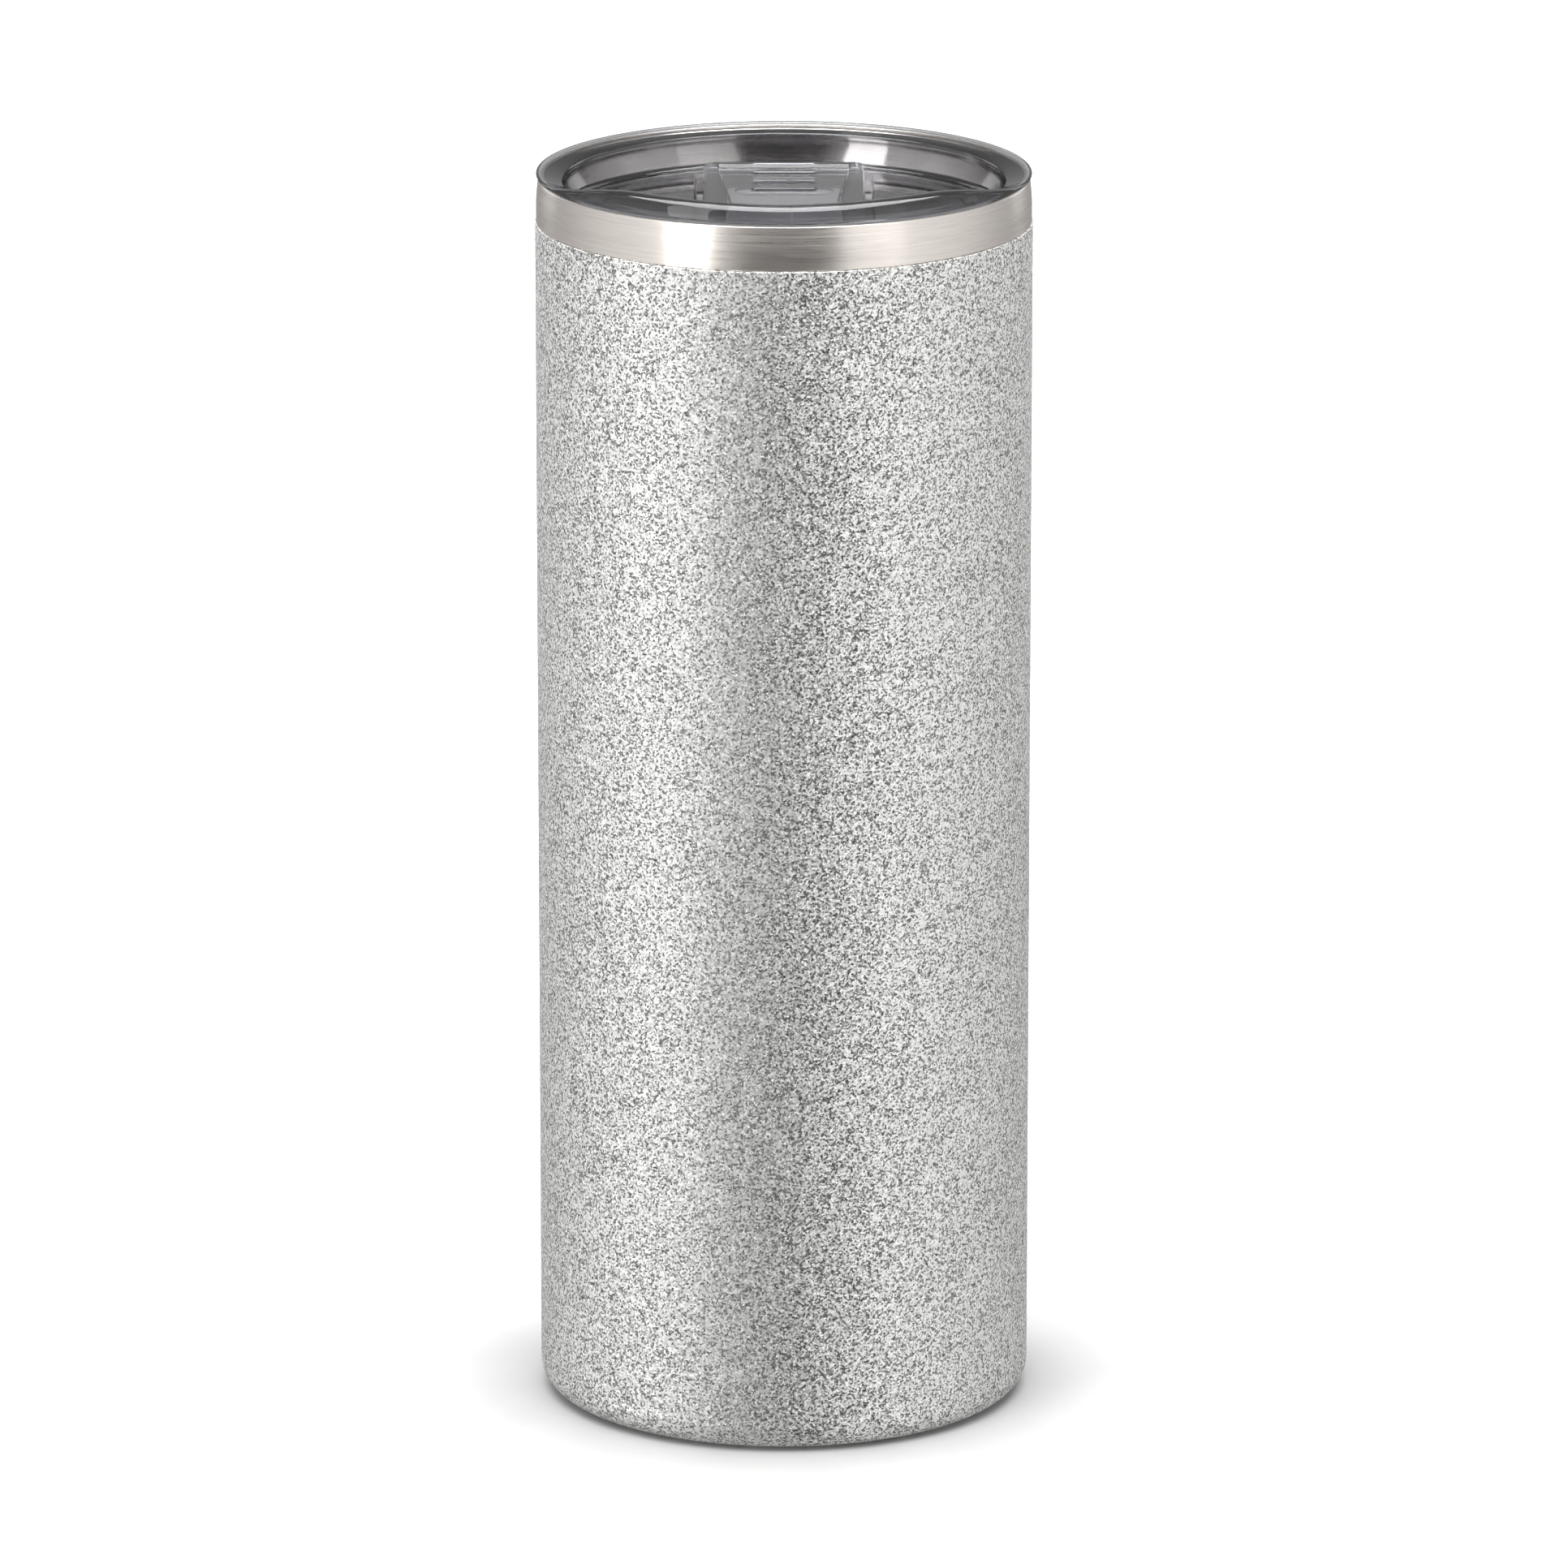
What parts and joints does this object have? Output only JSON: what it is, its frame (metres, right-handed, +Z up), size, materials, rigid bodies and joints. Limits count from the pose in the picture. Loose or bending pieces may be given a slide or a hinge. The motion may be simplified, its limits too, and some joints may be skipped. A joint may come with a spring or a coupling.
{
  "type": "insulated tumbler with lid",
  "caption": "Straight-sided double-wall steel tumbler with a glitter coat, a bare steel band and a smoke-clear sliding lid with a raised drinking lip.",
  "frame": {"origin": "centre of the foot, on the surface that the tumbler stands on", "axes": "+Z up along the body's axis, -Y towards the drinking lip, +X to the right of someone facing the lip"},
  "size_m": [0.0734, 0.0734, 0.1892],
  "materials": {
    "glitter": "resin coat full of fine silver glitter",
    "steel": "brushed around the body",
    "liner_steel": "satin, electropolished",
    "smoke_plastic": "glossy, clear smoke grey",
    "slider_plastic": "glossy, clear smoke grey",
    "silicone": "translucent, matte",
    "getter_alloy": "dull sintered alloy",
    "seal_glass": "dark sealing glass"
  },
  "bodies": {
    "cup": {"glitter_coat": "glitter", "outer_shell": "steel", "inner_liner": "liner_steel", "outer_base": "steel", "base_cap": "steel", "getter": "getter_alloy", "vacuum_seal": "seal_glass"},
    "lid": {"lid_body": "smoke_plastic", "lid_gasket": "silicone"},
    "slider": {"slider": "slider_plastic", "slider_seal": "silicone", "slider_retainer": "slider_plastic"}
  },
  "joints": [
    {"name": "lid_lift", "type": "slide", "parent": "cup", "child": "lid", "axis": [0, 0, 1], "range_m": [0, 0.04]},
    {"name": "slider_slide", "type": "slide", "parent": "lid", "child": "slider", "axis": [0, 1, 0], "range_m": [0, 0.0086]}
  ]
}
